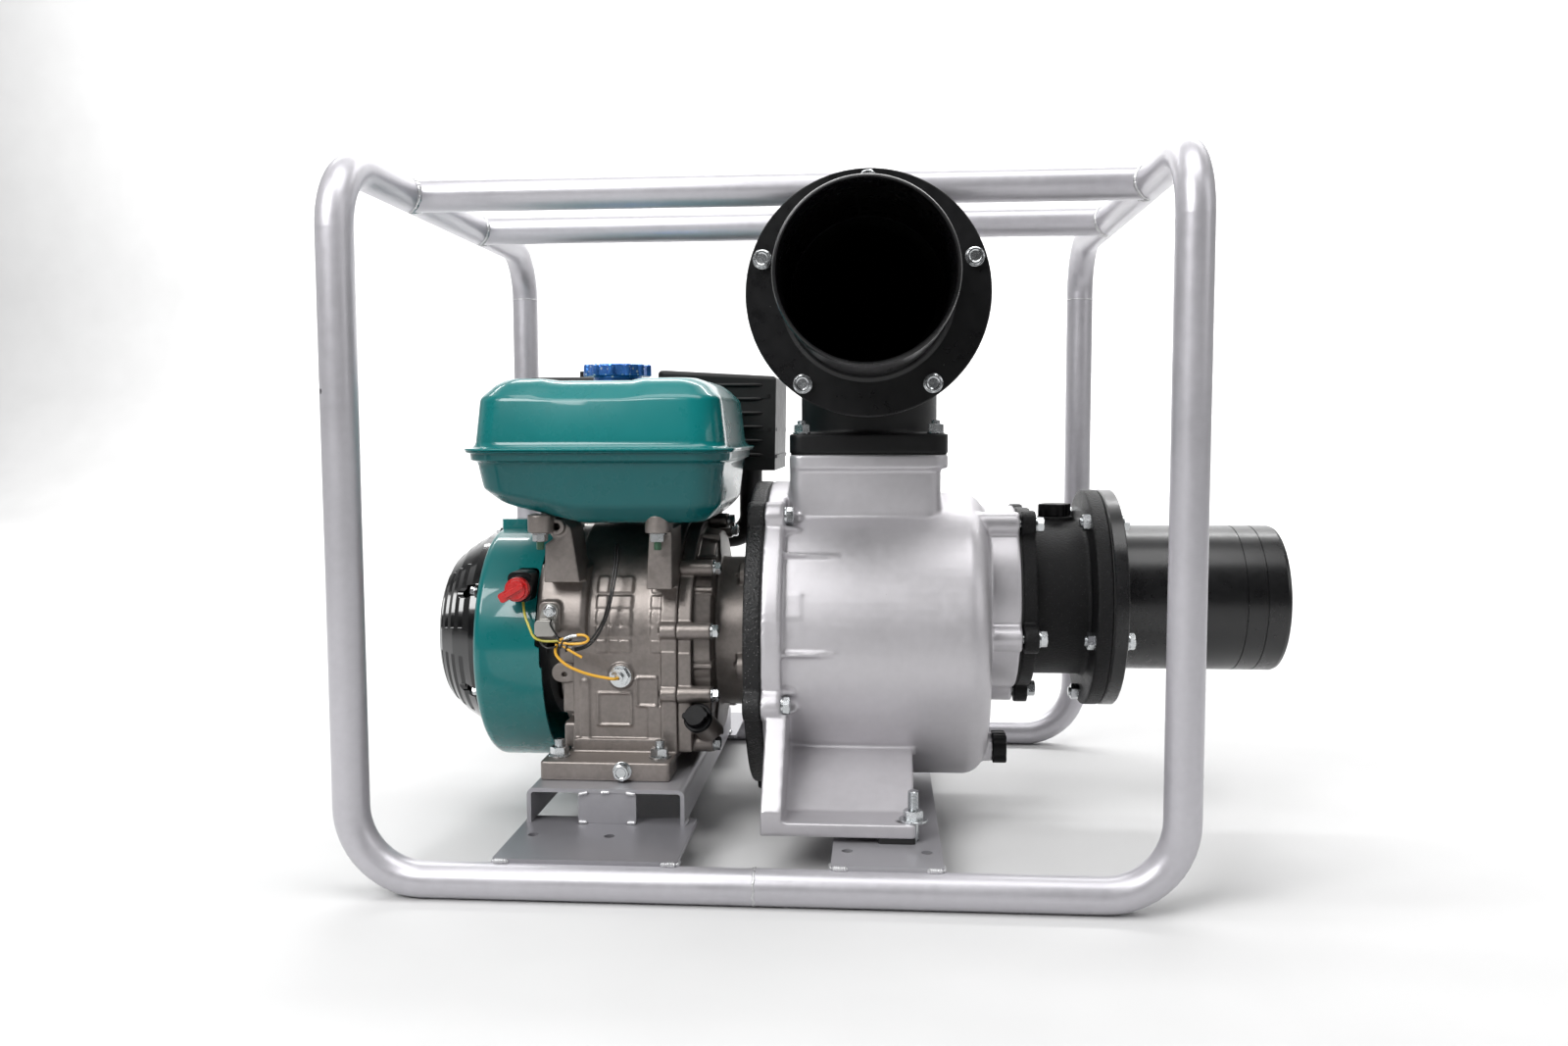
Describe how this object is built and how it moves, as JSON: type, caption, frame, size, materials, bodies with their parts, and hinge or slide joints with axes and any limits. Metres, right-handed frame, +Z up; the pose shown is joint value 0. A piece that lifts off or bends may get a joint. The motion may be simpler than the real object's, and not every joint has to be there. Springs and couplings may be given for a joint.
{
  "type": "gasoline water pump",
  "caption": "Engine-driven centrifugal water pump in a tubular carrying frame, with suction and delivery hose stubs.",
  "frame": {"origin": "centre of the overall bounding box in plan, at its lowest point, under the frame tubes", "axes": "+X from the engine towards the suction stub, along the shaft; -Y towards the delivery stub and the camera; +Z up"},
  "size_m": [0.894, 0.64, 0.6612],
  "materials": {
    "frame_paint": "satin silver grey",
    "casing_paint": "silver cast paint",
    "black_casting": "textured black",
    "black_stub": "satin black",
    "zinc_plate": "bright zinc",
    "engine_aluminium": "as cast",
    "black_gloss_paint": "gloss black",
    "silver_paint": "satin",
    "teal_paint": "gloss teal",
    "blue_cap": "metallic blue",
    "black_plastic": "moulded",
    "red_plastic": "moulded",
    "filter_foam": "open-cell foam",
    "shaft_steel": "machined",
    "cast_iron": "as cast",
    "piston_aluminium": "machined",
    "seal_rubber": "matte",
    "clip_grey": "moulded",
    "spark_plug": "glazed",
    "wire_black": "sleeved",
    "wire_yellow": "sleeved"
  },
  "bodies": {
    "pump_set": {"air_cleaner_base": "black_plastic", "air_cleaner_cover": "black_plastic", "air_filter_element": "filter_foam", "carburettor": "engine_aluminium", "connecting_rod": "shaft_steel", "crankcase": "engine_aluminium", "crankcase_side_cover": "engine_aluminium", "cylinder_head": "engine_aluminium", "discharge_elbow": "black_casting", "discharge_stub": "black_stub", "engine_base_plates": "frame_paint", "engine_channel": "frame_paint", "engine_cover_bolts": "zinc_plate", "fan_shroud": "teal_paint", "foot_bolts": "zinc_plate", "frame_loop_left": "frame_paint", "frame_loop_right": "frame_paint", "fuel_tank_lower": "teal_paint", "fuel_tank_upper": "teal_paint", "gaskets": "seal_rubber", "hose_flange_bolts": "zinc_plate", "ignition_harness": "wire_black", "main_bearings": "shaft_steel", "mechanical_seal": "shaft_steel", "muffler": "black_gloss_paint", "muffler_shield": "black_gloss_paint", "oil_drain_bolt": "zinc_plate", "oil_level_sender": "zinc_plate", "oil_sender_wire": "wire_yellow", "piston": "piston_aluminium", "pump_adapter": "black_casting", "pump_base_plate": "frame_paint", "pump_case_bolts": "zinc_plate", "pump_casing": "casing_paint", "recoil_cover": "black_gloss_paint", "rocker_cover": "silver_paint", "spark_plug": "spark_plug", "stop_switch_body": "black_plastic", "stop_switch_wire": "wire_black", "suction_housing": "black_casting", "suction_stub": "black_stub", "top_rails": "frame_paint", "volute": "cast_iron", "wire_clip": "clip_grey"},
    "crank_group": {"crankshaft": "shaft_steel", "flywheel": "cast_iron", "cooling_fan": "black_plastic", "starter_cup": "shaft_steel", "impeller": "cast_iron"},
    "cam_group": {"camshaft": "shaft_steel"},
    "starter_reel": {"recoil_reel": "black_plastic"},
    "starter_grip": {"recoil_grip": "black_plastic"},
    "tank_cap": {"fuel_cap": "blue_cap"},
    "switch_knob": {"stop_switch_knob": "red_plastic"},
    "oil_cap": {"oil_filler_cap": "black_plastic"},
    "priming_cap": {"priming_plug": "black_plastic"},
    "drain_cap": {"drain_plug": "black_plastic"},
    "choke_arm": {"choke_lever": "black_plastic"},
    "check_flap": {"check_valve_flap": "seal_rubber"}
  },
  "joints": [
    {"name": "crank_spin", "type": "hinge", "parent": "pump_set", "child": "crank_group", "pos_m": [-0.2, 0.016, 0.195], "axis": [1, 0, 0], "continuous": true},
    {"name": "cam_spin", "type": "hinge", "parent": "pump_set", "child": "cam_group", "pos_m": [-0.2, 0.04417, 0.14202], "axis": [1, 0, 0], "continuous": true},
    {"name": "reel_spin", "type": "hinge", "parent": "pump_set", "child": "starter_reel", "pos_m": [-0.4, 0.016, 0.195], "axis": [-1, 0, 0], "range_deg": [0, 355]},
    {"name": "grip_pull", "type": "slide", "parent": "pump_set", "child": "starter_grip", "axis": [0, 0.9404, 0.3401], "range_m": [0, 0.3]},
    {"name": "fuel_cap_turn", "type": "hinge", "parent": "pump_set", "child": "tank_cap", "pos_m": [-0.236, -0.039, 0.4], "axis": [0, 0, 1], "range_deg": [0, 90]},
    {"name": "stop_switch_turn", "type": "hinge", "parent": "pump_set", "child": "switch_knob", "pos_m": [-0.323, -0.112, 0.255], "axis": [0, 1, 0], "range_deg": [0, 60]},
    {"name": "oil_filler_cap_turn", "type": "hinge", "parent": "pump_set", "child": "oil_cap", "pos_m": [-0.134, -0.08, 0.104], "axis": [-0.2198, -0.8193, 0.5295], "range_deg": [0, 360]},
    {"name": "priming_plug_turn", "type": "hinge", "parent": "pump_set", "child": "priming_cap", "pos_m": [0.2215, 0.016, 0.32], "axis": [0, 0, 1], "range_deg": [0, 360]},
    {"name": "drain_plug_turn", "type": "hinge", "parent": "pump_set", "child": "drain_cap", "pos_m": [0.152, -0.044, 0.085], "axis": [1, 0, 0], "range_deg": [0, 360]},
    {"name": "choke_lever_turn", "type": "hinge", "parent": "pump_set", "child": "choke_arm", "pos_m": [-0.316, 0.183, 0.28206], "axis": [0, 1, 0], "range_deg": [0, 45]},
    {"name": "check_valve_swing", "type": "hinge", "parent": "pump_set", "child": "check_flap", "pos_m": [0.1732, 0.016, 0.316], "axis": [0, 1, 0], "range_deg": [0, 28]}
  ],
  "couplings": [
    {"joint": "cam_spin", "follows": "crank_spin", "ratio": -0.5},
    {"joint": "grip_pull", "follows": "reel_spin", "m_per_rad": 0.048}
  ]
}
